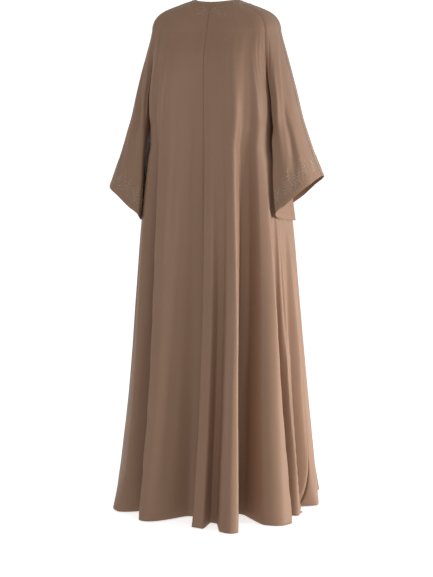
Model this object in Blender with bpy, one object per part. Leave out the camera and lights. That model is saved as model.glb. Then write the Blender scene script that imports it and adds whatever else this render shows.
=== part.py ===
"""Open-front abaya cloak with cut-in-one wide sleeves, hanging as it is worn.

The cloak is four panels of crepe: two backs joined by a centre back seam, and two fronts whose
edges hang side by side.  Each panel carries its own half of a sleeve, so the seams run over the
shoulder and arm, and under the arm and down the side.  Units are metres, +Z is up, the front
faces -Y and the wearer's right is at -X.  The origin lies between the tops of the shoulders.
"""
import bpy
import numpy as np

# Cloth and seams
CLOTH = 0.0015
SEAM_GAP = 0.0003

# Heights above the floor-length hem
HOLD_HEIGHT = 1.42
SHOULDER_RING = 1.36
UNDERARM = 1.10

# Neckline, an oval about the vertical axis
NECK_HALF_WIDTH = 0.062
NECK_BACK = 0.056
NECK_FRONT = 0.078
NECK_BACK_HEIGHT = 1.440
NECK_SIDE_HEIGHT = 1.447
NECK_FRONT_HEIGHT = 1.388

# Mesh steps: across the body quarter, across the sleeve half, and down each stretch
BODY_STEPS = 38
SLEEVE_STEPS = 12
CAP_ROWS = (0.0, 0.30, 0.58, 0.80, 0.94, 1.0)
CHEST_ROWS = (1.31, 1.25, 1.18, UNDERARM)
SKIRT_ROWS = (1.06, 0.98, 0.88, 0.77, 0.66, 0.55, 0.44, 0.33, 0.22, 0.13, 0.06, 0.0)
SLEEVE_ROWS = (0.2, 0.4, 0.6, 0.8, 1.0)

# Body sections.  Down to the underarm the side point is the bottom of the deep fold between
# body and arm, and "tuck" draws the back edge of that fold in.  Below it the side point is the
# side seam.
BODY_NAMES = ("height", "side_x", "side_back", "side_front", "back", "front", "edge_x", "round",
              "tuck")
BODY_TABLE = (
    (1.36, 0.156, 0.075, -0.068, 0.108, -0.098, 0.005, 0.85, 0.000),
    (1.30, 0.159, 0.078, -0.070, 0.138, -0.118, 0.005, 0.76, 0.002),
    (1.24, 0.164, 0.072, -0.065, 0.149, -0.130, 0.006, 0.60, 0.003),
    (1.18, 0.171, 0.057, -0.050, 0.151, -0.136, 0.006, 0.52, 0.003),
    (1.13, 0.176, 0.028, -0.025, 0.151, -0.138, 0.007, 0.52, 0.003),
    (1.10, 0.178, 0.000, 0.000, 0.151, -0.138, 0.007, 0.54, 0.003),
    (1.06, 0.178, 0.000, 0.000, 0.151, -0.138, 0.007, 0.58, 0.002),
    (1.00, 0.189, 0.000, 0.000, 0.153, -0.139, 0.008, 0.68, 0.000),
    (0.85, 0.215, 0.000, 0.000, 0.161, -0.148, 0.010, 0.86, 0.000),
    (0.62, 0.238, 0.000, 0.000, 0.178, -0.172, 0.011, 0.93, 0.000),
    (0.32, 0.265, 0.000, 0.000, 0.220, -0.226, 0.013, 1.00, 0.000),
    (0.09, 0.290, 0.000, 0.000, 0.264, -0.276, 0.015, 1.00, 0.000),
    (0.00, 0.300, 0.000, 0.000, 0.282, -0.292, 0.016, 1.00, 0.000),
)
TUCK_FROM = np.radians(45.0)
TUCK_TO = np.radians(90.0)

# Arm sections from the shoulder to the cuff.  "under" and "over" are the heights of a section on
# its underarm and overarm sides, "hug" draws its inner corners round the body, and "open" grows
# from a plain shoulder curve to a whole sleeve.
ARM_NAMES = ("under", "over", "inner_x", "outer_x", "back", "front", "hug", "open")
ARM_TABLE = (
    (1.360, 1.360, 0.156, 0.178, 0.075, -0.068, 0.000, 0.0),
    (1.300, 1.300, 0.159, 0.195, 0.079, -0.075, -0.005, 0.7),
    (1.240, 1.242, 0.164, 0.211, 0.085, -0.083, -0.003, 1.0),
    (1.180, 1.190, 0.171, 0.225, 0.089, -0.090, -0.004, 1.0),
    (1.100, 1.130, 0.178, 0.240, 0.093, -0.098, -0.002, 1.0),
    (1.050, 1.094, 0.198, 0.251, 0.095, -0.101, 0.020, 1.0),
    (1.000, 1.059, 0.207, 0.263, 0.096, -0.103, 0.026, 1.0),
    (0.950, 1.026, 0.213, 0.276, 0.098, -0.104, 0.032, 1.0),
    (0.895, 0.994, 0.220, 0.290, 0.099, -0.105, 0.036, 1.0),
    (0.838, 0.966, 0.228, 0.304, 0.100, -0.106, 0.039, 1.0),
)

# Outline of half a sleeve section from underarm to overarm: share of the way round, share of
# the way out, share of the depth, share of the hug, and share of the rise in height.
SLEEVE_SHAPE_NAMES = ("way", "out", "depth", "hug", "rise")
SLEEVE_SHAPE = (
    (0.00, 0.00, 0.00, 0.00, 0.000),
    (0.10, 0.00, 0.42, 0.45, 0.060),
    (0.18, 0.01, 0.76, 0.85, 0.120),
    (0.25, 0.06, 0.94, 1.00, 0.230),
    (0.40, 0.25, 0.98, 0.50, 0.460),
    (0.60, 0.51, 0.93, 0.10, 0.720),
    (0.80, 0.78, 0.80, 0.00, 0.870),
    (0.92, 0.93, 0.52, 0.00, 0.955),
    (1.00, 1.00, 0.00, 0.00, 1.000),
)
SLEEVE_CORNER = 0.25

# The left arm hangs lower than the right: change at the cuff's underarm and overarm heights, and
# in its reach.
CUFF_SHIFT = {"right": (0.000, 0.000, 0.000), "left": (-0.014, -0.032, 0.006)}

# Share of the hug that each sleeve takes.  The left body stands out further beside its sleeve.
SLEEVE_HUG = {"right": 1.00, "left": 0.72}

# Troughs between the flutes.  Angles are column angles, 0 at the centre back and growing towards
# the wearer's right, at the hem and at the height where the trough dies out; "lean" is the power
# of the change between them.  Each side has its own width, and the share of it that is wall.
TROUGH_NAMES = ("hem_angle", "top_angle", "lean", "left", "right", "left_wall", "right_wall",
                "depth", "top", "power")
TROUGHS = (
    (-172.0, -172.0, 1.0, 6.0, 6.0, 1.0, 1.0, 0.030, 1.05, 0.8),
    (-152.0, -150.0, 1.0, 10.0, 10.0, 0.8, 0.8, 0.075, 1.22, 0.8),
    (-130.0, -130.0, 1.0, 10.0, 10.0, 1.0, 1.0, -0.020, 0.40, 1.2),
    (-118.0, -120.0, 1.0, 9.0, 9.0, 0.9, 0.9, 0.075, 1.15, 0.8),
    (-98.0, -98.0, 1.0, 8.0, 8.0, 1.0, 1.0, 0.050, 1.00, 0.8),
    (-76.0, -73.0, 1.0, 8.0, 8.0, 1.0, 1.0, 0.060, 1.00, 0.8),
    (-57.0, -57.0, 1.0, 13.0, 13.0, 1.0, 1.0, -0.016, 0.12, 1.0),
    (-37.5, -44.5, 1.0, 15.0, 4.0, 1.0, 0.7, 0.130, 1.30, 0.9),
    (-3.0, -3.0, 1.0, 36.0, 30.0, 1.0, 1.0, 0.034, 1.40, 0.5),
    (-5.0, -3.0, 0.5, 26.0, 4.5, 0.8, 0.6, 0.085, 1.30, 1.5),
    (12.8, 17.0, 1.0, 6.5, 3.6, 0.6, 0.6, 0.060, 1.20, 1.3),
    (22.0, 24.0, 1.0, 8.0, 8.0, 1.0, 1.0, -0.012, 0.30, 1.0),
    (34.3, 51.0, 6.0, 8.0, 10.0, 0.27, 0.4, 0.080, 1.40, 1.1),
    (33.3, 35.0, 1.0, 7.0, 22.0, 0.31, 1.0, 0.070, 1.15, 1.0),
    (65.0, 59.0, 1.0, 4.5, 9.0, 0.6, 1.0, 0.080, 1.05, 1.1),
    (84.0, 67.5, 0.35, 2.5, 5.0, 0.8, 1.0, 0.018, 0.98, 0.4),
    (79.0, 80.0, 1.0, 20.0, 20.0, 1.0, 1.0, 0.030, 0.45, 1.0),
    (89.0, 73.0, 0.5, 4.5, 8.0, 0.7, 1.0, 0.054, 0.95, 0.9),
    (114.0, 112.0, 1.0, 9.0, 9.0, 0.9, 0.9, 0.062, 1.05, 0.8),
    (128.0, 128.0, 1.0, 12.0, 12.0, 1.0, 1.0, -0.030, 0.40, 1.0),
    (144.0, 142.0, 1.0, 10.0, 10.0, 0.8, 0.8, 0.078, 1.22, 0.8),
    (171.0, 171.0, 1.0, 6.5, 6.5, 1.0, 1.0, 0.032, 1.05, 0.8),
)

# Crepe seen on each panel: base colour of the taupe cloth, linear
PANEL_COLOURS = {
    "back_right": (0.262, 0.171, 0.124, 1.0),
    "back_left": (0.250, 0.163, 0.118, 1.0),
    "front_right": (0.256, 0.167, 0.121, 1.0),
    "front_left": (0.246, 0.160, 0.116, 1.0),
}
CREPE_ROUGHNESS = 0.55

# The underarm corner's wall goes straight up, far enough to meet both walls that part there
DOWN = np.array((0.0, 0.0, -1.0))
CORNER_RISE = 0.004


def columns(names, rows):
    """Turn a table's rows into one array for each named column."""
    return dict(zip(names, np.array(rows, float).T))


def smooth(at, knots, values):
    """Cubic curve through the knots that never overshoots them: a knot's slope is the harmonic
    mean of the slopes on its two sides, and nought at a turning point."""
    knots, values = np.asarray(knots, float), np.asarray(values, float)
    if knots[0] > knots[-1]:
        knots, values = knots[::-1], values[::-1]
    sides = np.diff(values) / np.diff(knots)
    product = sides[:-1] * sides[1:]
    total = np.where(product > 0.0, sides[:-1] + sides[1:], 1.0)
    middle = np.where(product > 0.0, 2.0 * product / total, 0.0)
    slopes = np.concatenate([sides[:1], middle, sides[-1:]])
    at = np.clip(np.asarray(at, float), knots[0], knots[-1])
    cell = np.clip(np.searchsorted(knots, at, side="right") - 1, 0, len(knots) - 2)
    span = knots[cell + 1] - knots[cell]
    t = (at - knots[cell]) / span
    start = (1 + 2 * t) * (1 - t) ** 2 * values[cell] + t * (1 - t) ** 2 * span * slopes[cell]
    end = t * t * (3 - 2 * t) * values[cell + 1] + t * t * (t - 1) * span * slopes[cell + 1]
    return start + end


BODY = columns(BODY_NAMES, BODY_TABLE)
ARM = columns(ARM_NAMES, ARM_TABLE)
SHAPE = columns(SLEEVE_SHAPE_NAMES, SLEEVE_SHAPE)


def trough_depth(angle, height):
    """Depth of the folds at a column angle and height: two raised-cosine walls, softer higher up,
    and a flat floor across each trough, fading by a power of the height from hem to top."""
    depth = np.zeros(np.broadcast(angle, height).shape)
    for hem, top_angle, lean, left, right, left_wall, right_wall, deep, top, power in TROUGHS:
        share = np.clip(height / top, 0.0, 1.0)
        off = angle - hem - (top_angle - hem) * share ** lean
        soft = share ** 1.5
        from_left = (1.0 + off / (left + 4.0 * soft)) / (left_wall + (1.0 - left_wall) * soft)
        from_right = (1.0 - off / right) / (right_wall + (1.0 - right_wall) * soft)
        inside = np.clip(np.where(off < 0.0, from_left, from_right), 0.0, 1.0)
        depth = depth + deep * (1.0 - share) ** power * np.sin(0.5 * np.pi * inside) ** 2
    return depth


def body_grid(side, face, heights):
    """Body quarter: each row is a rounded quarter outline from the centre to the side point,
    moved in along its own plan normal by the depth of the folds."""
    heights = np.asarray(heights, float)[:, None]
    turn = np.linspace(0.0, 0.5 * np.pi, BODY_STEPS + 1)[None, :]
    side_x, edge_x, bend, tuck = (smooth(heights, BODY["height"], BODY[n])
                                  for n in ("side_x", "edge_x", "round", "tuck"))
    deep = smooth(heights, BODY["height"], BODY[face])
    side_y = smooth(heights, BODY["height"], BODY["side_" + face])
    start_x = edge_x if face == "front" else 0.0 * edge_x
    tucked = np.sin(np.pi * np.clip((turn - TUCK_FROM) / (TUCK_TO - TUCK_FROM), 0.0, 1.0))
    reach = (np.sin(turn) ** (2.0 / bend) + np.cos(turn) ** (2.0 / bend)) ** (-0.5 * bend)
    x = start_x + (side_x - start_x) * np.sin(turn) * reach - tuck * tucked
    y = side_y + (deep - side_y) * np.cos(turn) * reach
    normal = np.stack([np.sin(turn) / side_x, np.cos(turn) / deep], axis=-1)
    normal /= np.linalg.norm(normal, axis=-1, keepdims=True)
    angle = np.degrees(turn) if face == "back" else 180.0 - np.degrees(turn)
    depth = trough_depth(angle if side == "right" else -angle, heights)
    x = x - normal[..., 0] * depth
    y = y - normal[..., 1] * depth
    return np.stack([x, y, np.broadcast_to(heights, x.shape)], axis=-1)


def arm_grid(side, face, unders, cuff_share):
    """Half sleeve: each row runs from the underarm to the overarm through the sleeve outline,
    blended at the shoulder with a plain rounded corner."""
    unders = np.asarray(unders, float)[:, None]
    cuff_share = np.asarray(cuff_share, float)[:, None]
    way = np.linspace(0.0, 1.0, SLEEVE_STEPS + 1)[None, :]
    row = {n: smooth(unders, ARM["under"], ARM[n]) for n in ARM_NAMES}
    side_y = smooth(unders, BODY["height"], BODY["side_" + face])
    out, depth, hug, rise = (smooth(way, SHAPE["way"], SHAPE[n])
                             for n in ("out", "depth", "hug", "rise"))
    shift_under, shift_over, shift_reach = CUFF_SHIFT[side]
    outer_x = row["outer_x"] + shift_reach * cuff_share
    reach = outer_x - row["inner_x"]
    sleeve_x = row["inner_x"] + reach * out - SLEEVE_HUG[side] * row["hug"] * hug
    inner_y = side_y + (row[face] - side_y) * depth
    sleeve_y = np.where(way <= SLEEVE_CORNER, inner_y, row[face] * depth)
    plain_x = row["inner_x"] + reach * np.sin(0.5 * np.pi * way)
    plain_y = side_y * np.cos(0.5 * np.pi * way) ** 0.8
    x = plain_x + (sleeve_x - plain_x) * row["open"]
    y = plain_y + (sleeve_y - plain_y) * row["open"]
    under = unders + shift_under * cuff_share
    over = row["over"] + shift_over * cuff_share
    return np.stack([x, y, under + (over - under) * rise], axis=-1)


def cap_grid(face, ring):
    """Shoulder cap: each column runs straight in plan from the neckline to the shoulder ring.
    Its height falls as a gentle slope that turns down at the ring, sharply over the shoulder
    and softly over the back and chest."""
    turn = np.linspace(0.0, 0.5 * np.pi, ring.shape[0])
    along = np.array(CAP_ROWS)[:, None]
    neck_y = NECK_BACK if face == "back" else -NECK_FRONT
    neck_top = NECK_BACK_HEIGHT if face == "back" else NECK_FRONT_HEIGHT
    start_x = 0.0 if face == "back" else BODY["edge_x"][0]
    neck_x = start_x + (NECK_HALF_WIDTH - start_x) * np.sin(turn)
    neck_z = neck_top + (NECK_SIDE_HEIGHT - neck_top) * np.sin(turn) ** 2
    plan = np.stack([neck_x, neck_y * np.cos(turn)], axis=-1)
    plan = plan[None] + (ring[None, :, :2] - plan[None]) * along[..., None]
    shoulder = (1.0 - 0.48 * along) * np.sqrt(1.0 - along ** 8)
    chest = 1.0 - 0.6 * along - 0.4 * along ** 2.75
    fall = chest + (shoulder - chest) * np.sin(turn) ** 2
    z = SHOULDER_RING + (neck_z - SHOULDER_RING) * fall
    return np.concatenate([plan, z[..., None]], axis=-1)


def quarter(side, face):
    """Outer points of one panel as three grids that share the underarm row, with X signed."""
    chest = np.array((SHOULDER_RING,) + CHEST_ROWS)
    body = body_grid(side, face, chest)
    arm = arm_grid(side, face, chest, np.zeros(len(chest)))
    arm[:, 0] = body[:, -1]
    wide = np.concatenate([body, arm[:, 1:]], axis=1)
    upper = np.concatenate([cap_grid(face, wide[0])[:-1], wide], axis=0)
    skirt = body_grid(side, face, np.array((UNDERARM,) + SKIRT_ROWS))
    share = np.array((0.0,) + SLEEVE_ROWS)
    cuff_under = ARM["under"][-1]
    sleeve = arm_grid(side, face, UNDERARM + (cuff_under - UNDERARM) * share, share)
    skirt[0] = upper[-1, :BODY_STEPS + 1]
    sleeve[0] = upper[-1, BODY_STEPS:]
    sign = -1.0 if side == "right" else 1.0
    place = np.array((sign, 1.0, 1.0))
    drop = np.array((0.0, 0.0, HOLD_HEIGHT))
    return [grid * place - drop for grid in (upper, skirt, sleeve)]


def joined(grids):
    """One point list for a panel, and the index grid of each of its three stretches."""
    upper, skirt, sleeve = grids
    index_upper = np.arange(upper.shape[0] * upper.shape[1]).reshape(upper.shape[:2])
    count = index_upper.size
    skirt_new = np.arange(skirt[1:, :, 0].size).reshape(skirt[1:].shape[:2]) + count
    count += skirt_new.size
    sleeve_new = np.arange(sleeve[1:, :, 0].size).reshape(sleeve[1:].shape[:2]) + count
    index_skirt = np.concatenate([index_upper[-1:, :BODY_STEPS + 1], skirt_new])
    index_sleeve = np.concatenate([index_upper[-1:, BODY_STEPS:], sleeve_new])
    points = np.concatenate([g.reshape(-1, 3) for g in (upper, skirt[1:], sleeve[1:])])
    return points, (index_upper, index_skirt, index_sleeve)


def triangles(points, indices, flip):
    """Two triangles for each cell of the index grids, cut along the cell's shorter diagonal and
    turned so that they face out of the garment."""
    faces = []
    for grid in indices:
        a, b, c, d = (g.ravel() for g in (grid[:-1, :-1], grid[:-1, 1:], grid[1:, 1:], grid[1:, :-1]))
        first = np.linalg.norm(points[a] - points[c], axis=1)
        second = np.linalg.norm(points[b] - points[d], axis=1)
        short = (first <= second)[:, None]
        faces.append(np.where(short, np.stack([a, b, c], 1), np.stack([a, b, d], 1)))
        faces.append(np.where(short, np.stack([a, c, d], 1), np.stack([b, c, d], 1)))
    faces = np.concatenate(faces)
    return faces[:, ::-1] if flip else faces


def shared_normals(panels):
    """Vertex normals of the whole garment, so that both sides of a seam have the same one.  Each
    face counts by its corner's angle, which keeps the bottom of a narrow fold upright."""
    totals = {}
    keys = {}
    for name, (points, faces) in panels.items():
        keys[name] = [tuple(p) for p in np.round(points * 1e5).astype(int)]
        a, b, c = (points[faces[:, k]] for k in range(3))
        normal = np.cross(b - a, c - a)
        normal /= np.linalg.norm(normal, axis=1, keepdims=True)
        for corner, here, ahead, behind in ((0, a, b, c), (1, b, c, a), (2, c, a, b)):
            one, two = ahead - here, behind - here
            lengths = np.linalg.norm(one, axis=1) * np.linalg.norm(two, axis=1)
            angle = np.arccos(np.clip(np.sum(one * two, axis=1) / lengths, -1.0, 1.0))
            for vertex, share in zip(faces[:, corner], normal * angle[:, None]):
                key = keys[name][vertex]
                totals[key] = totals.get(key, 0.0) + share
    result = {}
    for name, (points, faces) in panels.items():
        normals = np.array([totals[key] for key in keys[name]])
        result[name] = normals / np.linalg.norm(normals, axis=1, keepdims=True)
    return result


def inset(points, seam, neighbour):
    """Move a seam's points half the seam gap towards the next column, square to the seam."""
    line = points[seam]
    along = np.gradient(line, axis=0)
    along /= np.linalg.norm(along, axis=1, keepdims=True)
    inward = points[neighbour] - line
    inward -= along * np.sum(inward * along, axis=1, keepdims=True)
    inward /= np.linalg.norm(inward, axis=1, keepdims=True)
    moved = line + inward * 0.5 * SEAM_GAP
    return dict(zip(seam.tolist(), moved))


def cut_back(points, indices, face):
    """Leave half the seam gap along every seam of a panel."""
    upper, skirt, sleeve = indices
    overarm = np.concatenate([upper[:, -1], sleeve[1:, -1]])
    beside_overarm = np.concatenate([upper[:, -2], sleeve[1:, -2]])
    moves = inset(points, overarm, beside_overarm)
    moves.update(inset(points, skirt[:, -1], skirt[:, -2]))
    underarm = inset(points, sleeve[:, 0], sleeve[:, 1])
    corner = int(sleeve[0, 0])
    underarm[corner] = 0.5 * (underarm[corner] + moves[corner])
    moves.update(underarm)
    if face == "back":
        centre = np.concatenate([upper[:, 0], skirt[1:, 0]])
        beside_centre = np.concatenate([upper[:, 1], skirt[1:, 1]])
        moves.update(inset(points, centre, beside_centre))
    result = points.copy()
    for vertex, place in moves.items():
        result[vertex] = place
    return result


def rim(faces, count):
    """Triangles that close the wall along every edge used by only one face."""
    used = {}
    for face in faces.tolist():
        for start, end in zip(face, face[1:] + face[:1]):
            used[(start, end)] = True
    start, end = np.array([edge for edge in used if (edge[1], edge[0]) not in used]).T
    return np.concatenate([np.stack([end, start, start + count], 1),
                           np.stack([end, start + count, end + count], 1)])


def crepe(name):
    """Matt satin crepe in the panel's own colour."""
    material = bpy.data.materials.new(name + "_crepe")
    material.use_nodes = True
    shader = material.node_tree.nodes["Principled BSDF"]
    shader.inputs["Base Color"].default_value = PANEL_COLOURS[name]
    shader.inputs["Roughness"].default_value = CREPE_ROUGHNESS
    shader.inputs["Metallic"].default_value = 0.0
    return material


def build_panel(name, points, faces, normals, collection):
    """Closed wall between the outer points and the same points moved in by the cloth."""
    count = len(points)
    inner = points - normals * CLOTH
    walls = np.concatenate([faces, faces[:, ::-1] + count, rim(faces, count)])
    mesh = bpy.data.meshes.new(name)
    mesh.from_pydata(np.concatenate([points, inner]).tolist(), [], walls.tolist())
    mesh.shade_smooth()
    mesh.set_sharp_from_angle(angle=np.radians(60.0))
    mesh.materials.append(crepe(name))
    panel = bpy.data.objects.new(name, mesh)
    collection.objects.link(panel)
    return panel


def build_cloak():
    """Make the four panels in a collection named for the cloak."""
    for old in list(bpy.data.objects):
        bpy.data.objects.remove(old, do_unlink=True)
    collection = bpy.data.collections.new("abaya_cloak")
    bpy.context.scene.collection.children.link(collection)
    grids, indices, panels = {}, {}, {}
    for side in ("left", "right"):
        for face in ("back", "front"):
            name = face + "_" + side
            grids[name] = quarter(side, face)
            points, indices[name] = joined(grids[name])
            flip = (side == "right") == (face == "back")
            panels[name] = (points, triangles(points, indices[name], flip))
    normals = shared_normals(panels)
    for name, (points, faces) in panels.items():
        underarm_corner = indices[name][2][0, 0]
        normals[name][underarm_corner] = DOWN * CORNER_RISE / CLOTH
        cut = cut_back(points, indices[name], name.split("_")[0])
        build_panel(name, cut, faces, normals[name], collection)


build_cloak()
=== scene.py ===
import bpy
import numpy as np
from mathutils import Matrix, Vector


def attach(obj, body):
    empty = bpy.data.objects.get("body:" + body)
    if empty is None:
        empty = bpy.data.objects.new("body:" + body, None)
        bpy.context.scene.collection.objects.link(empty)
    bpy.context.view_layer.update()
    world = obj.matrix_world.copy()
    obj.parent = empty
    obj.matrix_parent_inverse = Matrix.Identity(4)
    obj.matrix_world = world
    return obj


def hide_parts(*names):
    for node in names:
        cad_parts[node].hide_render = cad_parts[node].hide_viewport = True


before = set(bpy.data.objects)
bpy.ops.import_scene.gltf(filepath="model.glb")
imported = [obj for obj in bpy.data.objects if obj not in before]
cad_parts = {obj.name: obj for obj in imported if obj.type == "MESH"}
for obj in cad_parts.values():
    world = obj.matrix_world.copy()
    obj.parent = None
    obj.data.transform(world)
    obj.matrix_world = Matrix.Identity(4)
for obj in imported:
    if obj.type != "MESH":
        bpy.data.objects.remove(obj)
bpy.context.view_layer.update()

# ---- View ----
# A plain pale floor and soft studio light, seen from behind the cloak and a little to its right,
# from the height of the upper back.
HEM_LEVEL = -1.42
VIEW_TURN = np.radians(16.0)
VIEW_DISTANCE = 4.0
VIEW_HEIGHT = 1.35
AIM_HEIGHT = 0.633
FLOOR_RADIUS = 9.0
COVE_RADIUS = 3.0
FLOOR_GAP = 0.003
towards_view = Vector((-np.sin(VIEW_TURN), np.cos(VIEW_TURN), 0.0))
view_place = towards_view * VIEW_DISTANCE + Vector((0.0, 0.0, HEM_LEVEL + VIEW_HEIGHT))
view_target = Vector((0.0, 0.0, HEM_LEVEL + AIM_HEIGHT))

camera_data = bpy.data.cameras.new("camera")
camera_data.sensor_fit = "AUTO"
camera_data.sensor_width = 36.0
camera_data.lens = 88.2
camera_data.shift_x = -0.00087
camera = bpy.data.objects.new("camera", camera_data)
bpy.context.scene.collection.objects.link(camera)
camera.location = view_place
camera.rotation_euler = (view_target - view_place).to_track_quat("-Z", "Y").to_euler()
bpy.context.scene.camera = camera

# Floor: a flat disc, then a quarter-round cove whose topmost ring is drawn up further
turns = np.linspace(0.0, 2.0 * np.pi, 65)[None, :-1]
sweep = np.linspace(0.0, 1.0, 25)[:, None]
out_to_cove = FLOOR_RADIUS + COVE_RADIUS * np.sin(np.pi * (sweep - 0.5))
radii = np.where(sweep < 0.5, 2.0 * FLOOR_RADIUS * sweep, out_to_cove)
rises = np.where(sweep < 0.5, 0.0, COVE_RADIUS * (1.0 - np.cos(np.pi * (sweep - 0.5))))
rises = rises + 10.0 * np.clip(sweep - 0.96, 0.0, 1.0)
levels = HEM_LEVEL - FLOOR_GAP + rises + 0.0 * turns
cove = np.stack([radii * np.cos(turns), radii * np.sin(turns), levels], axis=-1)
ring = np.arange(cove[..., 0].size).reshape(cove.shape[:2])
beside = np.roll(ring, -1, axis=1)
cove_faces = np.stack([ring[:-1], beside[:-1], beside[1:], ring[1:]], axis=-1).reshape(-1, 4)[:, ::-1]
floor_mesh = bpy.data.meshes.new("floor")
floor_mesh.from_pydata(cove.reshape(-1, 3), [], cove_faces.tolist())
floor_mesh.shade_smooth()
floor = bpy.data.objects.new("floor", floor_mesh)
bpy.context.scene.collection.objects.link(floor)
floor.visible_diffuse = False
floor.visible_shadow = False
floor_paint = bpy.data.materials.new("floor_paint")
floor_paint.use_nodes = True
paint = floor_paint.node_tree.nodes["Principled BSDF"]
paint.inputs["Base Color"].default_value = (0.90, 0.90, 0.90, 1.0)
paint.inputs["Roughness"].default_value = 0.9
paint.inputs["Specular IOR Level"].default_value = 0.0
paint.inputs["Emission Color"].default_value = (1.0, 1.0, 1.0, 1.0)
paint.inputs["Emission Strength"].default_value = 0.66
floor_mesh.materials.append(floor_paint)

world = bpy.data.worlds.new("studio")
world.use_nodes = True
world.node_tree.nodes["Background"].inputs["Color"].default_value = (1.0, 1.0, 1.0, 1.0)
world.node_tree.nodes["Background"].inputs["Strength"].default_value = 0.52
bpy.context.scene.world = world
bpy.context.scene.view_settings.view_transform = "Standard"


def softbox(name, place, aim, size, power, spread):
    """Square area lamp at a place, turned to its aim.  Its spread is in degrees."""
    lamp = bpy.data.lights.new(name, "AREA")
    lamp.size = size
    lamp.energy = power
    lamp.spread = np.radians(spread)
    lamp_object = bpy.data.objects.new(name, lamp)
    bpy.context.scene.collection.objects.link(lamp_object)
    lamp_object.location = place
    lamp_object.rotation_euler = (Vector(aim) - Vector(place)).to_track_quat("-Z", "Y").to_euler()


softbox("key_softbox", (-4.4, 0.1, -0.75), (0.0, 0.0, -1.1), 1.4, 13.5, 36.0)
softbox("fill_softbox", (-0.4, 4.8, 0.6), (0.0, 0.0, -0.7), 2.5, 25.0, 180.0)


# ---- Two back panels ----
# The back is cut in two halves of matt satin crepe, joined by a centre back seam.  Each half has
# its half of the sleeve cut in one with it and hangs from the shoulder in deep soft flutes.
CLOTH = 0.0012
HEM_DEPTH = 0.018
SEAM_PRESS = 0.0006
SEAM_HALF_WIDTH = 0.006
SEAM_LINE = 0.0016
STITCH_LINE = 0.0011
TAUPE = (0.291, 0.173, 0.113)
BODY_COLUMNS = 112
SLEEVE_COLUMNS = 42
CAP_ROWS = 24
CHEST_ROWS = 65
SKIRT_ROWS = 245
SLEEVE_ROWS = 75
SHOULDER_RING = 1.36
UNDERARM = 1.10
NECK_HALF_WIDTH = 0.062
NECK_SIDE_HEIGHT = 1.447
CAP_LEVELS = 0.09
NECK = {"back": (0.056, 1.440, 0.0), "front": (-0.078, 1.388, 0.005)}

# Sections of the body, heights above the hem
BODY_NAMES = ("height", "side_x", "side_back", "side_front", "back", "front", "edge_x", "round", "tuck")
BODY_ROWS = (
    (1.36, 0.156, 0.075, -0.068, 0.108, -0.098, 0.005, 0.85, 0.000),
    (1.30, 0.159, 0.078, -0.070, 0.138, -0.118, 0.005, 0.76, 0.002),
    (1.24, 0.164, 0.072, -0.065, 0.149, -0.130, 0.006, 0.60, 0.003),
    (1.18, 0.171, 0.057, -0.050, 0.151, -0.136, 0.006, 0.52, 0.003),
    (1.13, 0.176, 0.028, -0.025, 0.151, -0.138, 0.007, 0.52, 0.003),
    (1.10, 0.178, 0.000, 0.000, 0.151, -0.138, 0.007, 0.54, 0.003),
    (1.06, 0.178, 0.000, 0.000, 0.151, -0.138, 0.007, 0.58, 0.002),
    (1.00, 0.189, 0.000, 0.000, 0.153, -0.139, 0.008, 0.68, 0.000),
    (0.85, 0.215, 0.000, 0.000, 0.161, -0.148, 0.010, 0.86, 0.000),
    (0.62, 0.238, 0.000, 0.000, 0.178, -0.172, 0.011, 0.93, 0.000),
    (0.32, 0.265, 0.000, 0.000, 0.220, -0.226, 0.013, 1.00, 0.000),
    (0.09, 0.290, 0.000, 0.000, 0.264, -0.276, 0.015, 1.00, 0.000),
    (0.00, 0.300, 0.000, 0.000, 0.282, -0.292, 0.016, 1.00, 0.000),
)
# Sections of the arm, by their heights on the underarm side
ARM_NAMES = ("under", "over", "inner_x", "outer_x", "back", "front", "hug", "open")
ARM_ROWS = (
    (1.360, 1.360, 0.156, 0.178, 0.075, -0.068, 0.000, 0.0),
    (1.300, 1.300, 0.159, 0.195, 0.079, -0.075, -0.005, 0.7),
    (1.240, 1.242, 0.164, 0.211, 0.085, -0.083, -0.003, 1.0),
    (1.180, 1.190, 0.171, 0.225, 0.089, -0.090, -0.004, 1.0),
    (1.100, 1.130, 0.178, 0.240, 0.093, -0.098, -0.002, 1.0),
    (1.050, 1.094, 0.198, 0.251, 0.095, -0.101, 0.020, 1.0),
    (1.000, 1.059, 0.207, 0.263, 0.096, -0.103, 0.026, 1.0),
    (0.950, 1.026, 0.213, 0.276, 0.098, -0.104, 0.032, 1.0),
    (0.895, 0.994, 0.220, 0.290, 0.099, -0.105, 0.036, 1.0),
    (0.838, 0.966, 0.228, 0.304, 0.100, -0.106, 0.039, 1.0),
)
SLEEVE_NAMES = ("way", "out", "depth", "hug", "rise")
SLEEVE_OUTLINE = (
    (0.00, 0.00, 0.00, 0.00, 0.000), (0.10, 0.00, 0.42, 0.45, 0.060), (0.18, 0.01, 0.76, 0.85, 0.120),
    (0.25, 0.06, 0.94, 1.00, 0.230), (0.40, 0.25, 0.98, 0.50, 0.460), (0.60, 0.51, 0.93, 0.10, 0.720),
    (0.80, 0.78, 0.80, 0.00, 0.870), (0.92, 0.93, 0.52, 0.00, 0.955), (1.00, 1.00, 0.00, 0.00, 1.000),
)
TROUGH_SPREAD = 4.0
CUFF_SHIFT = {"right": (0.000, 0.000, 0.000), "left": (-0.014, -0.032, 0.006)}
SLEEVE_HUG = {"right": 1.00, "left": 0.72}
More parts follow.
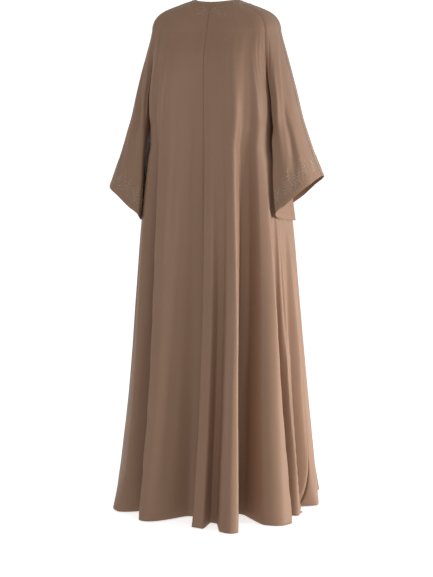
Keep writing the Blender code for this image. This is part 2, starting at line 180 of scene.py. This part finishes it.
# Troughs between the flutes: column angle at the hem and at the top, power of its lean, widths to
# the left and right, share of each width that is wall, depth at the hem, height where it dies
# out, power of its fading
TROUGHS = (
    (-172.0, -172.0, 1.0, 6.0, 6.0, 1.0, 1.0, 0.030, 1.05, 0.8),
    (-152.0, -150.0, 1.0, 10.0, 10.0, 0.8, 0.8, 0.075, 1.22, 0.8),
    (-130.0, -130.0, 1.0, 10.0, 10.0, 1.0, 1.0, -0.020, 0.40, 1.2),
    (-118.0, -120.0, 1.0, 9.0, 9.0, 0.9, 0.9, 0.075, 1.15, 0.8),
    (-98.0, -98.0, 1.0, 8.0, 8.0, 1.0, 1.0, 0.050, 1.00, 0.8),
    (-76.0, -73.0, 1.0, 8.0, 8.0, 1.0, 1.0, 0.060, 1.00, 0.8),
    (-57.0, -57.0, 1.0, 13.0, 13.0, 1.0, 1.0, -0.016, 0.12, 1.0),
    (-37.5, -44.5, 1.0, 15.0, 4.0, 1.0, 0.7, 0.130, 1.30, 0.9),
    (-3.0, -3.0, 1.0, 36.0, 30.0, 1.0, 1.0, 0.034, 1.40, 0.5),
    (-5.0, -3.0, 0.5, 26.0, 4.5, 0.8, 0.6, 0.085, 1.30, 1.5),
    (12.8, 17.0, 1.0, 6.5, 3.6, 0.6, 0.6, 0.060, 1.20, 1.3),
    (22.0, 24.0, 1.0, 8.0, 8.0, 1.0, 1.0, -0.012, 0.30, 1.0),
    (34.3, 51.0, 6.0, 8.0, 10.0, 0.27, 0.4, 0.080, 1.40, 1.1),
    (33.3, 35.0, 1.0, 7.0, 22.0, 0.31, 1.0, 0.070, 1.15, 1.0),
    (65.0, 59.0, 1.0, 4.5, 9.0, 0.6, 1.0, 0.080, 1.05, 1.1),
    (84.0, 67.5, 0.35, 2.5, 5.0, 0.8, 1.0, 0.018, 0.98, 0.4),
    (79.0, 80.0, 1.0, 20.0, 20.0, 1.0, 1.0, 0.030, 0.45, 1.0),
    (89.0, 73.0, 0.5, 4.5, 8.0, 0.7, 1.0, 0.054, 0.95, 0.9),
    (114.0, 112.0, 1.0, 9.0, 9.0, 0.9, 0.9, 0.062, 1.05, 0.8),
    (128.0, 128.0, 1.0, 12.0, 12.0, 1.0, 1.0, -0.030, 0.40, 1.0),
    (144.0, 142.0, 1.0, 10.0, 10.0, 0.8, 0.8, 0.078, 1.22, 0.8),
    (171.0, 171.0, 1.0, 6.5, 6.5, 1.0, 1.0, 0.032, 1.05, 0.8),
)


def table(names, rows):
    """One array for each named column of the rows."""
    return dict(zip(names, np.array(rows, float).T))


BODY = table(BODY_NAMES, BODY_ROWS)
ARM = table(ARM_NAMES, ARM_ROWS)
OUTLINE = table(SLEEVE_NAMES, SLEEVE_OUTLINE)


def smooth(at, knots, values):
    """Cubic curve through the knots; each knot's slope is the harmonic mean of its two sides'
    slopes, and nought at a turning point, so the curve never overshoots."""
    if knots[0] > knots[-1]:
        knots, values = knots[::-1], values[::-1]
    sides = np.diff(values) / np.diff(knots)
    product = sides[:-1] * sides[1:]
    total = np.where(product > 0.0, sides[:-1] + sides[1:], 1.0)
    inner = np.where(product > 0.0, 2.0 * product / total, 0.0)
    slopes = np.concatenate([sides[:1], inner, sides[-1:]])
    at = np.clip(at, knots[0], knots[-1])
    cell = np.clip(np.searchsorted(knots, at, side="right") - 1, 0, len(knots) - 2)
    span = knots[cell + 1] - knots[cell]
    t = (at - knots[cell]) / span
    start = (1 + 2 * t) * (1 - t) ** 2 * values[cell] + t * (1 - t) ** 2 * span * slopes[cell]
    return start + t * t * (3 - 2 * t) * values[cell + 1] + t * t * (t - 1) * span * slopes[cell + 1]


def bump(offset):
    """Raised cosine of an offset counted in half widths: 1 at the middle, 0 from 1 outwards."""
    return np.cos(0.5 * np.pi * np.clip(offset, -1.0, 1.0)) ** 2


def body_points(side, face, heights, turn):
    """Quarter of the body over a grid of heights and turns from the centre to the side: a rounded
    quarter outline, moved in along its plan normal by the depth of the troughs.  A trough has a
    flat floor between two raised-cosine walls.  Upwards the walls take up more of its width, its
    left one spreads, and its depth falls as a power of the share of its height that is left."""
    side_x, edge_x, bend, tuck = (smooth(heights, BODY["height"], BODY[n])
                                  for n in ("side_x", "edge_x", "round", "tuck"))
    deep = smooth(heights, BODY["height"], BODY[face])
    side_y = smooth(heights, BODY["height"], BODY["side_" + face])
    start_x = edge_x if face == "front" else 0.0 * edge_x
    reach = (np.sin(turn) ** (2.0 / bend) + np.cos(turn) ** (2.0 / bend)) ** (-0.5 * bend)
    x = start_x + (side_x - start_x) * np.sin(turn) * reach
    x = x - tuck * np.sin(np.pi * np.clip(turn / (0.25 * np.pi) - 1.0, 0.0, 1.0))
    y = side_y + (deep - side_y) * np.cos(turn) * reach
    across, inward = np.sin(turn) / side_x, np.cos(turn) / deep
    length = np.hypot(across, inward)
    angle = np.degrees(turn) if face == "back" else 180.0 - np.degrees(turn)
    angle = angle if side == "right" else -angle
    depth = 0.0 * (angle + heights)
    for hem, top_angle, lean, left, right, left_wall, right_wall, deepest, top, power in TROUGHS:
        share = np.clip(heights / top, 0.0, 1.0)
        off = angle - hem - (top_angle - hem) * share ** lean
        soft = share ** 1.5
        from_left = (1.0 + off / (left + TROUGH_SPREAD * soft)) / (left_wall + (1.0 - left_wall) * soft)
        from_right = (1.0 - off / right) / (right_wall + (1.0 - right_wall) * soft)
        inside = np.where(off < 0.0, from_left, from_right)
        depth = depth + deepest * (1.0 - share) ** power * (1.0 - bump(np.clip(inside, 0.0, 1.0)))
    return np.stack([x - across / length * depth, y - inward / length * depth,
                     np.broadcast_to(heights, depth.shape)], axis=-1)


def sleeve_points(side, face, unders, cuff_share, way):
    """Half sleeve over a grid of underarm heights and ways round from underarm to overarm: the
    sleeve's outline, blended with a plain rounded corner at the shoulder."""
    row = {n: smooth(unders, ARM["under"], ARM[n]) for n in ARM_NAMES}
    side_y = smooth(unders, BODY["height"], BODY["side_" + face])
    out, depth, hug, rise = (smooth(way, OUTLINE["way"], OUTLINE[n])
                             for n in ("out", "depth", "hug", "rise"))
    shift_under, shift_over, shift_reach = CUFF_SHIFT[side]
    reach = row["outer_x"] + shift_reach * cuff_share - row["inner_x"]
    sleeve_x = row["inner_x"] + reach * out - SLEEVE_HUG[side] * row["hug"] * hug
    sleeve_y = np.where(way <= 0.25, side_y + (row[face] - side_y) * depth, row[face] * depth)
    plain_x = row["inner_x"] + reach * np.sin(0.5 * np.pi * way)
    plain_y = side_y * np.cos(0.5 * np.pi * way) ** 0.8
    under = unders + shift_under * cuff_share
    over = row["over"] + shift_over * cuff_share
    return np.stack([plain_x + (sleeve_x - plain_x) * row["open"],
                     plain_y + (sleeve_y - plain_y) * row["open"],
                     under + (over - under) * rise], axis=-1)


def cap_points(face, ring, along):
    """Shoulder cap from the neckline to the shoulder ring: straight in plan, its height falling
    as a gentle slope that turns down sharply over the shoulder and softly over the back."""
    turn = np.linspace(0.0, 0.5 * np.pi, ring.shape[0])
    neck_y, neck_top, start_x = NECK[face]
    neck_x = start_x + (NECK_HALF_WIDTH - start_x) * np.sin(turn)
    plan = np.stack([neck_x, neck_y * np.cos(turn)], axis=-1)
    plan = plan[None] + (ring[None, :, :2] - plan[None]) * along[..., None]
    neck_z = neck_top + (NECK_SIDE_HEIGHT - neck_top) * np.sin(turn) ** 2
    chest = 1.0 - 0.6 * along - 0.4 * along ** 2.75
    fall = chest + ((1.0 - 0.48 * along) * np.sqrt(1.0 - along ** 8) - chest) * np.sin(turn) ** 2
    return np.concatenate([plan, (SHOULDER_RING + (neck_z - SHOULDER_RING) * fall)[..., None]], axis=-1)


def panel_grids(side, face):
    """Three grids of one panel, upper, skirt and sleeve, that share the underarm row.  Each point
    is x, y, height, then signed column angle, way round the sleeve, and height on the body side."""
    turn = np.linspace(0.0, 0.5 * np.pi, BODY_COLUMNS + 1)[None]
    way = np.linspace(0.0, 1.0, SLEEVE_COLUMNS + 1)[None]
    chest = np.linspace(SHOULDER_RING, UNDERARM, CHEST_ROWS)[:, None]
    skirt = np.linspace(UNDERARM, 0.0, SKIRT_ROWS)[:, None]
    share = np.linspace(0.0, 1.0, SLEEVE_ROWS)[:, None]
    body = body_points(side, face, chest, turn)
    arm = sleeve_points(side, face, chest, 0.0 * chest, way)
    wide = np.concatenate([body, arm[:, 1:]], axis=1)
    along = 1.0 - (1.0 - np.linspace(0.0, 1.0, CAP_ROWS)[:-1, None]) ** 1.6
    upper = np.concatenate([cap_points(face, wide[0], along), wide], axis=0)
    low = body_points(side, face, skirt, turn)
    unders = UNDERARM + (ARM["under"][-1] - UNDERARM) * share
    sleeve = sleeve_points(side, face, unders, share, way)
    angle = np.degrees(turn) if face == "back" else 180.0 - np.degrees(turn)
    sign = 1.0 if side == "right" else -1.0
    around = np.concatenate([angle, np.full((1, SLEEVE_COLUMNS), angle[0, -1])], axis=1) * sign
    round_arm = np.concatenate([np.zeros((1, BODY_COLUMNS)), way], axis=1)

    def with_places(grid, *places):
        extra = [np.broadcast_to(a, grid.shape[:2])[..., None] for a in places]
        return np.concatenate([grid * np.array((-sign, 1.0, 1.0))] + extra, axis=-1)

    level = np.concatenate([SHOULDER_RING + CAP_LEVELS * (1.0 - along), chest])
    return [with_places(upper, around, round_arm, level), with_places(low, angle * sign, 0.0, skirt),
            with_places(sleeve, sign * angle[0, -1], way, unders)]


def panel_faces(points, indices, outwards):
    """Two triangles for each cell, cut along its shorter diagonal."""
    faces = []
    for grid in indices:
        a, b, c, d = (g.ravel() for g in (grid[:-1, :-1], grid[:-1, 1:], grid[1:, 1:], grid[1:, :-1]))
        one_way = np.linalg.norm(points[a] - points[c], axis=1)
        other_way = np.linalg.norm(points[b] - points[d], axis=1)
        short = (one_way <= other_way)[:, None]
        faces += [np.where(short, np.stack([a, b, c], 1), np.stack([a, b, d], 1)),
                  np.where(short, np.stack([a, c, d], 1), np.stack([b, c, d], 1))]
    return np.concatenate(faces)[:, ::outwards]


def lengths(grid, axis, backwards=False):
    """Distance along one axis of a grid of points, from its first or its last line."""
    grid = np.flip(grid, axis) if backwards else grid
    steps = np.linalg.norm(np.diff(grid[..., :3], axis=axis), axis=-1)
    start = np.zeros_like(steps.take([0], axis))
    total = np.concatenate([start, np.cumsum(steps, axis=axis)], axis=axis)
    return np.flip(total, axis) if backwards else total


def edge_and_seam(face, upper, low, sleeve):
    """Distance of each point of the three grids from the nearest hemmed edge and from the nearest
    seam: edges are neck, hem, cuff and front; seams are centre back, overarm, underarm and side."""
    front = face == "front"
    side_of_body = np.full(upper.shape[:2], 1.0)
    side_of_body[:, :BODY_COLUMNS + 1] = lengths(upper[:, :BODY_COLUMNS + 1], 1)
    low_centre, to_side = lengths(low, 1), lengths(low, 1, True)
    overarm = lengths(upper, 1, True)
    round_sleeve, sleeve_overarm = lengths(sleeve, 1), lengths(sleeve, 1, True)
    neck, hem, cuff = lengths(upper, 0), lengths(low, 0, True), lengths(sleeve, 0, True)
    edges = (np.minimum(neck, side_of_body) if front else neck,
             np.minimum(hem, low_centre) if front else hem, cuff)
    seams = (overarm if front else np.minimum(overarm, side_of_body),
             to_side if front else np.minimum(to_side, low_centre),
             np.minimum(round_sleeve, sleeve_overarm))
    return [np.stack([e, m], axis=-1) for e, m in zip(edges, seams)]


panels = {}
for name in ("back_right", "back_left", "front_right", "front_left"):
    face, side = name.split("_")
    grids = panel_grids(side, face)
    upper, low, sleeve = grids
    row = np.arange(upper.shape[0] * upper.shape[1]).reshape(upper.shape[:2])
    low_new = row.size + np.arange(low[1:, :, 0].size).reshape(low[1:].shape[:2])
    sleeve_new = np.arange(sleeve[1:, :, 0].size).reshape(sleeve[1:].shape[:2]) + row.size + low_new.size
    indices = (row, np.concatenate([row[-1:, :BODY_COLUMNS + 1], low_new]),
               np.concatenate([row[-1:, BODY_COLUMNS:], sleeve_new]))
    grids = [np.concatenate(pair, axis=-1) for pair in zip(grids, edge_and_seam(face, *grids))]
    data = np.concatenate([g.reshape(-1, 8) for g in (grids[0], grids[1][1:], grids[2][1:])])
    outwards = -1 if (side == "right") == (face == "back") else 1
    panels[name] = {"points": data[:, :3], "angle": data[:, 3], "way": data[:, 4], "level": data[:, 5],
                    "edge": data[:, 6], "seam": data[:, 7], "indices": indices,
                    "faces": panel_faces(data[:, :3], indices, outwards)}


def cloth_normals():
    """Normals over all four panels together, each face counting by its corner's angle, so that
    both sides of a seam have the same one."""
    starts = np.cumsum([0] + [len(p["points"]) for p in panels.values()])
    points = np.concatenate([p["points"] for p in panels.values()])
    faces = np.concatenate([p["faces"] + s for p, s in zip(panels.values(), starts)])
    same = np.unique(np.round(points * 2e4).astype(np.int64), axis=0, return_inverse=True)[1].ravel()
    corners = points[faces]
    ahead, behind = np.roll(corners, -1, axis=1) - corners, np.roll(corners, 1, axis=1) - corners
    normal = np.cross(ahead, behind)
    sine = np.linalg.norm(normal, axis=-1, keepdims=True)
    angle = np.arctan2(sine, np.sum(ahead * behind, axis=-1, keepdims=True))
    weighted = normal / np.maximum(sine, 1e-12) * angle
    totals = np.stack([np.bincount(same[faces].ravel(), weighted[..., k].ravel(), same.max() + 1)
                       for k in range(3)], axis=1)[same]
    totals /= np.maximum(np.linalg.norm(totals, axis=1, keepdims=True), 1e-12)
    return {name: totals[s:s + len(p["points"])] for (name, p), s in zip(panels.items(), starts)}


def crease_depth(rows, level, place):
    """Depth of small folds at a level and a place across: each runs straight from its upper to its
    lower end, a raised cosine across, fading as half a sine wave towards both ends."""
    depth = 0.0 * level
    for high, low, high_place, low_place, width, deepest in rows:
        share = np.clip((high - level) / (high - low), 0.0, 1.0)
        across = (place - high_place - (low_place - high_place) * share) / width
        depth = depth + deepest * np.sin(np.pi * share) * bump(across)
    return depth


# Small folds: upper and lower level, place at both, half width, depth
BODY_CREASES = (
    (1.37, 1.17, 62.0, 56.0, 2.8, 0.0012), (1.355, 1.04, 80.0, 72.0, 4.0, 0.0032),
    (1.375, 1.22, 78.0, 67.0, 2.6, -0.0012), (1.35, 1.10, 54.0, 50.0, 3.0, 0.0010),
    (1.36, 0.90, 30.0, 27.0, 5.0, -0.0030), (1.34, 0.55, 19.0, 20.0, 5.0, 0.0022),
    (1.30, 0.40, 7.0, 6.0, 4.5, -0.0018), (1.25, 0.45, -13.0, -16.0, 5.0, -0.0022),
    (1.25, 0.60, -24.0, -27.0, 4.0, 0.0020), (1.30, 0.95, -36.0, -38.0, 2.4, -0.0028),
    (1.42, 1.15, -56.0, -50.0, 3.0, 0.0030), (1.42, 1.10, -72.0, -64.0, 4.0, 0.0035),
    (0.90, 0.30, 66.0, 69.0, 2.4, 0.0040), (0.60, 0.02, 24.0, 22.0, 3.0, -0.0020),
    (0.55, 0.02, -20.0, -22.0, 4.0, 0.0022), (0.55, 0.05, -50.0, -48.0, 4.0, 0.0030),
    (0.90, 0.20, -62.0, -66.0, 3.5, 0.0035), (0.80, 0.10, -86.0, -88.0, 3.5, 0.0035),
    (0.85, 0.15, 95.0, 98.0, 4.0, 0.0040), (0.70, 0.05, 105.0, 104.0, 3.0, -0.0030),
    (1.05, 0.30, 124.0, 122.0, 4.0, 0.0030), (1.36, 0.80, 134.0, 132.0, 4.0, 0.0030),
    (1.42, 1.05, 112.0, 120.0, 4.0, 0.0040), (1.44, 1.12, 124.0, 133.0, 3.5, 0.0030),
    (1.30, 0.50, 156.0, 158.0, 4.0, 0.0025), (0.70, 0.05, 160.0, 158.0, 3.5, -0.0030),
    (1.35, 0.70, 172.0, 175.0, 3.0, 0.0020), (1.42, 1.06, -112.0, -119.0, 4.0, 0.0040),
    (1.44, 1.14, -125.0, -134.0, 3.5, 0.0032), (1.36, 0.85, -137.0, -136.0, 4.0, 0.0028),
    (1.00, 0.25, -108.0, -107.0, 3.5, 0.0035), (0.60, 0.05, -126.0, -128.0, 4.0, -0.0030),
    (1.25, 0.45, -162.0, -160.0, 4.0, 0.0026), (0.65, 0.05, -142.0, -141.0, 3.0, 0.0028),
    (0.75, 0.10, -165.0, -166.0, 3.5, -0.0026),
)
ARM_CREASES = {
    "back_right": ((1.34, 1.06, 0.95, 0.74, 0.15, 0.0060), (1.22, 0.86, 0.82, 0.55, 0.16, 0.0085),
                   (1.30, 0.95, 0.58, 0.36, 0.13, -0.0050), (1.08, 0.84, 0.36, 0.30, 0.10, 0.0030)),
    "back_left": ((1.30, 1.04, 0.75, 0.50, 0.14, 0.0045), (1.20, 0.86, 0.62, 0.42, 0.14, 0.0065),
                  (1.10, 0.84, 0.80, 0.66, 0.12, 0.0030), (1.30, 0.98, 0.45, 0.28, 0.10, -0.0030)),
    "front_right": ((1.28, 0.92, 0.80, 0.52, 0.15, 0.0065), (1.16, 0.84, 0.50, 0.36, 0.12, 0.0045),
                    (1.10, 0.86, 0.86, 0.74, 0.10, 0.0035)),
    "front_left": ((1.28, 0.90, 0.78, 0.50, 0.15, 0.0060), (1.14, 0.84, 0.54, 0.38, 0.12, 0.0045),
                   (1.08, 0.85, 0.84, 0.76, 0.10, 0.0032)),
}

normals = cloth_normals()
for name, panel in panels.items():
    on_body = panel["way"] <= 0.0
    depth = np.where(on_body, crease_depth(BODY_CREASES, panel["level"], panel["angle"]), 0.0)
    depth = depth + np.where(on_body, 0.0, crease_depth(ARM_CREASES[name], panel["level"], panel["way"])
                             * np.sin(0.5 * np.pi * np.clip(8.0 * (1.0 - panel["way"]), 0.0, 1.0)))
    depth = depth + SEAM_PRESS * bump(panel["seam"] / SEAM_HALF_WIDTH)
    panel["points"] = panel["points"] - normals[name] * depth[:, None] + np.array((0.0, 0.0, HEM_LEVEL))
normals = cloth_normals()


def crepe(name, colour):
    """Matt satin crepe: taupe with a faint tone drawn out lengthwise, a fine pebbled grain, pressed
    seam lines, and turned hems with their line of stitching."""
    cloth = bpy.data.materials.new(name)
    cloth.use_nodes = True
    nodes, links = cloth.node_tree.nodes, cloth.node_tree.links
    shader = nodes["Principled BSDF"]
    shader.inputs["Roughness"].default_value = 0.52
    shader.inputs["Specular IOR Level"].default_value = 0.20
    shader.inputs["Sheen Weight"].default_value = 0.08
    shader.inputs["Sheen Roughness"].default_value = 0.45
    shader.inputs["Sheen Tint"].default_value = (0.95, 0.70, 0.52, 1.0)

    def noise(scale, detail, stretch):
        place = nodes.new("ShaderNodeMapping")
        place.inputs["Scale"].default_value = stretch
        links.new(where.outputs["Object"], place.inputs["Vector"])
        texture = nodes.new("ShaderNodeTexNoise")
        texture.inputs["Scale"].default_value = scale
        texture.inputs["Detail"].default_value = detail
        links.new(place.outputs["Vector"], texture.inputs["Vector"])
        return texture.outputs["Fac"]

    def maths(operation, first, second):
        node = nodes.new("ShaderNodeMath")
        node.operation = operation
        for socket, value in zip(node.inputs, (first, second)):
            if isinstance(value, float):
                socket.default_value = value
            else:
                links.new(value, socket)
        return node.outputs["Value"]

    def line(attribute, middle, half_width):
        distance = nodes.new("ShaderNodeAttribute")
        distance.attribute_name = attribute
        off = maths("ABSOLUTE", maths("SUBTRACT", distance.outputs["Fac"], middle), 0.0)
        return maths("MAXIMUM", maths("SUBTRACT", 1.0, maths("DIVIDE", off, half_width)), 0.0)

    where = nodes.new("ShaderNodeTexCoord")
    seam, stitches = line("from_seam", 0.0, SEAM_LINE), line("from_edge", HEM_DEPTH, STITCH_LINE)
    layers = maths("MINIMUM", line("from_edge", 0.0, HEM_DEPTH + 0.001), 0.05)
    tone = maths("ADD", maths("MULTIPLY", noise(7.0, 3.0, (1.0, 1.0, 1.0)), 0.12),
                 maths("MULTIPLY", noise(60.0, 4.0, (1.0, 1.0, 0.05)), 0.10))
    worked = maths("ADD", maths("MULTIPLY", seam, 0.10), maths("MULTIPLY", stitches, 0.10))
    tone = maths("SUBTRACT", maths("ADD", tone, 0.90), worked)
    paint = nodes.new("ShaderNodeMix")
    paint.data_type = "RGBA"
    paint.inputs["A"].default_value = (0.0, 0.0, 0.0, 1.0)
    paint.inputs["B"].default_value = tuple(1.1 * c for c in colour) + (1.0,)
    links.new(maths("DIVIDE", tone, 1.1), paint.inputs["Factor"])
    links.new(paint.outputs["Result"], shader.inputs["Base Color"])
    grain = maths("MULTIPLY", noise(900.0, 2.0, (1.0, 1.0, 1.0)), 0.25)
    sunk = maths("ADD", maths("MULTIPLY", seam, 0.8), maths("MULTIPLY", stitches, 0.8))
    height = maths("SUBTRACT", maths("ADD", grain, maths("MULTIPLY", layers, 20.0)), sunk)
    relief = nodes.new("ShaderNodeBump")
    relief.inputs["Strength"].default_value = 0.5
    relief.inputs["Distance"].default_value = 0.0005
    links.new(height, relief.inputs["Height"])
    links.new(relief.outputs["Normal"], shader.inputs["Normal"])
    return cloth


def make_panel(name, colour):
    """Put one panel's shell into Blender, with its distances from edges and seams for the crepe."""
    panel = panels[name]
    mesh = bpy.data.meshes.new(name + "_cloth")
    mesh.from_pydata(panel["points"], [], panel["faces"].tolist())
    mesh.shade_smooth()
    for attribute, values in (("from_edge", panel["edge"]), ("from_seam", panel["seam"])):
        distances = mesh.attributes.new(attribute, "FLOAT", "POINT")
        distances.data.foreach_set("value", values.astype(np.float32))
    mesh.materials.append(crepe(name + "_crepe", colour))
    piece = bpy.data.objects.new(name + "_cloth", mesh)
    bpy.context.scene.collection.objects.link(piece)
    wall = piece.modifiers.new("wall", "SOLIDIFY")
    wall.thickness = CLOTH
    wall.offset = -1.0
    wall.use_even_offset = False
    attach(piece, "root")
    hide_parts(name)


make_panel("back_right", TAUPE)
make_panel("back_left", TAUPE)

# ---- Two front panels ----
# The fronts are cut like the backs, but open from neck to hem: their narrow hemmed edges hang side
# by side without any fastening.
make_panel("front_right", TAUPE)
make_panel("front_left", TAUPE)

# ---- Beadwork at the cuffs and the neckline ----
# Small pale tonal beads sewn on by hand in loose sprays: stems that curve up from the edge with
# leaf pairs and a small flower head, about 8 cm deep round each cuff and 6 cm round the neck.
BEAD_RADIUS = 0.0013
BEAD_COLOUR = (0.41, 0.29, 0.21)
EDGE_ROW_STEP, EDGE_ROW_RISE = 0.0075, 0.007
LEAF_LENGTH, LEAF_CURL, FLOWER_RADIUS = 0.011, 30.0, 0.0042
CUFF_BAND, CUFF_SPACING = 0.082, 0.019
NECK_BAND, NECK_SPACING = 0.058, 0.024
# Beads of one spray: across and up from its foot, in metres
STEM = np.linspace(0.0, 1.0, 13)[1:]
LEAF_FEET = np.array((0.22, 0.40, 0.58, 0.76))
LEAF = np.array((0.25, 0.5, 0.75, 1.0))


def spray(reach, sway, turned):
    """Bead places of one spray: a stem that sways as half a sine wave, four pairs of curved leaf
    lines, one to each side of it, and a ring of seven beads round the last bead of the stem."""
    def stem_at(t):
        return np.stack([turned * sway * np.sin(np.pi * t), reach * t], axis=-1)
    leaves = []
    for foot, hand in zip(LEAF_FEET.repeat(2), (1.0, -1.0) * len(LEAF_FEET)):
        out = LEAF_LENGTH * (1.15 - foot) * LEAF
        leaf = np.stack([hand * out, 0.7 * out + LEAF_CURL * out ** 2], axis=-1)
        leaves.append(stem_at(foot) + leaf)
    turn = np.linspace(0.0, 2.0 * np.pi, 8)[:-1]
    head = stem_at(1.0) + FLOWER_RADIUS * np.stack([np.cos(turn), np.sin(turn)], axis=-1)
    return np.concatenate([stem_at(STEM)] + leaves + [head])


def bead_places(girth, depth, spacing):
    """Places along an edge and up from it: a row of single beads, a spray at every spacing with
    uneven height and lean, and two loose beads between sprays."""
    along = np.arange(0.004, girth - 0.002, EDGE_ROW_STEP)
    places = [np.stack([along, EDGE_ROW_RISE + 0.0 * along], axis=-1)]
    count = max(int(girth / spacing), 1)
    for k in range(count):
        foot = girth * (k + 0.5) / count + 0.004 * np.sin(2.6 * k)
        reach = depth * (0.80 + 0.16 * np.sin(1.7 * k + 0.8)) - 0.012
        sway = 0.006 + 0.002 * np.cos(2.1 * k)
        places.append(spray(reach, sway, 1.0 if k % 2 else -1.0) + (foot, 0.013))
        loose = np.array(((0.42, 0.55), (-0.45, 0.30))) * (girth / count, depth)
        places.append(loose + (foot, 0.004 * np.cos(3.3 * k)))
    places = np.concatenate(places)
    return places[(places[:, 0] > 0.003) & (places[:, 0] < girth - 0.003)]


def on_cloth(panel, grid, places):
    """Points and normals of the cloth at distances along an edge and up from it.  The edge is the
    grid's first row, and both distances are turned into cell numbers and blended between them."""
    index = panel["indices"][grid][::-1] if grid == 2 else panel["indices"][0]
    surface = panel["points"][index]
    along = lengths(surface, 1)[0]
    column = np.interp(places[:, 0], along, np.arange(len(along)))
    left = np.minimum(column.astype(int), len(along) - 2)
    part = column - left
    up = lengths(surface, 0)
    height = up[:, left] * (1.0 - part) + up[:, left + 1] * part
    low = np.clip(np.sum(height <= places[:, 1], axis=0) - 1, 0, len(height) - 2)
    picks = np.arange(len(low))
    rise = (places[:, 1] - height[low, picks]) / (height[low + 1, picks] - height[low, picks])
    weights = ((1 - rise) * (1 - part), (1 - rise) * part, rise * (1 - part), rise * part)
    corners = (index[low, left], index[low, left + 1], index[low + 1, left], index[low + 1, left + 1])
    points = sum(w[:, None] * panel["points"][c] for w, c in zip(weights, corners))
    normal = sum(w[:, None] * panel["normals"][c] for w, c in zip(weights, corners))
    return points, normal / np.linalg.norm(normal, axis=1, keepdims=True)


def make_beads(name, colour):
    """All beads of one panel as one mesh: a flattened six-sided bead for each place."""
    panel = panels[name]
    cuff = panel["points"][panel["indices"][2][-1]]
    neck = panel["points"][panel["indices"][0][0]]
    cuff_places = bead_places(lengths(cuff[None], 1)[0, -1], CUFF_BAND, CUFF_SPACING)
    neck_places = bead_places(lengths(neck[None], 1)[0, -1], NECK_BAND, NECK_SPACING)
    pairs = (on_cloth(panel, 2, cuff_places), on_cloth(panel, 0, neck_places))
    centre, normal = (np.concatenate(both) for both in zip(*pairs))
    side = np.cross(normal, (0.31, 0.17, 0.93))
    side /= np.linalg.norm(side, axis=1, keepdims=True)
    other = np.cross(normal, side)
    turn = np.linspace(0.0, 2.0 * np.pi, 7)[:-1]
    girdle = [side * np.cos(t) + other * np.sin(t) + 0.25 * normal for t in turn]
    crown = [0.55 * (side * np.cos(t) + other * np.sin(t)) + 0.8 * normal for t in turn]
    shape = np.stack(girdle + crown + [0.95 * normal], axis=1) * BEAD_RADIUS
    vertices = (centre[:, None] + shape).reshape(-1, 3)
    a = np.arange(6)
    b = (a + 1) % 6
    wall = np.stack([a, b, b + 6, a + 6], axis=1)
    top = np.stack([a + 6, b + 6, np.full(6, 12)], axis=1)
    starts = 13 * np.arange(len(centre))
    faces = (wall[None] + starts[:, None, None]).reshape(-1, 4).tolist()
    faces += (top[None] + starts[:, None, None]).reshape(-1, 3).tolist()
    mesh = bpy.data.meshes.new(name + "_beads")
    mesh.from_pydata(vertices, [], faces)
    mesh.shade_smooth()
    glaze = bpy.data.materials.new(name + "_beads")
    glaze.use_nodes = True
    shader = glaze.node_tree.nodes["Principled BSDF"]
    shader.inputs["Base Color"].default_value = colour + (1.0,)
    shader.inputs["Roughness"].default_value = 0.28
    shader.inputs["Specular IOR Level"].default_value = 0.4
    mesh.materials.append(glaze)
    beads = bpy.data.objects.new(name + "_beads", mesh)
    bpy.context.scene.collection.objects.link(beads)
    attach(beads, "root")


for name in panels:
    panels[name]["normals"] = normals[name]
    make_beads(name, BEAD_COLOUR)
